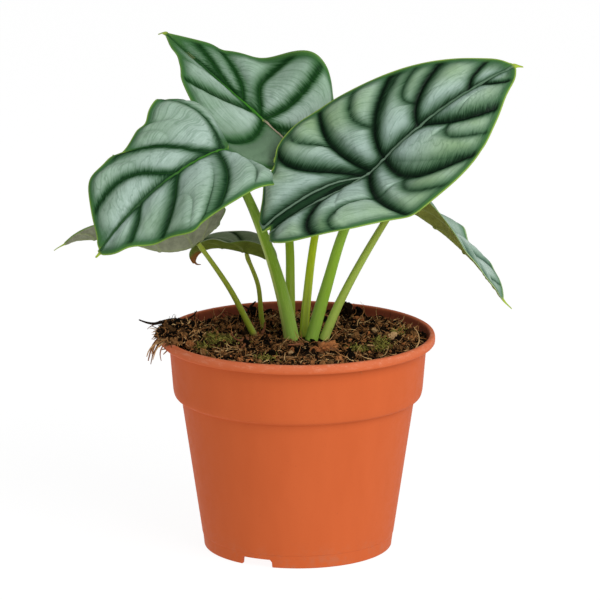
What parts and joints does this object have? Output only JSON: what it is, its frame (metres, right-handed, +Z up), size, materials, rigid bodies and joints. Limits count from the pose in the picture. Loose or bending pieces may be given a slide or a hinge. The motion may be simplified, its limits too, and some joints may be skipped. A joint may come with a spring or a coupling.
{
  "type": "potted alocasia plant",
  "caption": "Young potted alocasia: shield-shaped quilted silver-green leaves on long upright stalks, standing in peat in a round tapered plastic nursery pot.",
  "frame": {"origin": "centre of the pot's underside, where it stands", "axes": "+Z up the pot's axis, +X to the right and -Y to the viewer in the pictured view"},
  "size_m": [0.203, 0.1245, 0.2219],
  "materials": {
    "pot_plastic": "terracotta-coloured injection-moulded plastic, satin",
    "peat": "dark fibrous peat with coir, bark chips and moss",
    "crown_cork": "corky stem base with dry sheath remains",
    "stalk_green": "smooth fleshy green leaf stalk, satin",
    "leaf_silver": "silver-green quilted leaf with dark sunken veins and a green margin"
  },
  "bodies": {
    "root": {"pot": "pot_plastic", "potting_soil": "peat", "crown": "crown_cork", "stalk_a": "stalk_green", "blade_a": "leaf_silver", "stalk_b": "stalk_green", "blade_b": "leaf_silver", "stalk_c": "stalk_green", "blade_c": "leaf_silver", "stalk_d": "stalk_green", "blade_d": "leaf_silver", "stalk_e": "stalk_green", "blade_e": "leaf_silver", "stalk_f": "stalk_green", "blade_f": "leaf_silver", "stalk_g": "stalk_green", "blade_g": "leaf_silver"}
  },
  "joints": []
}
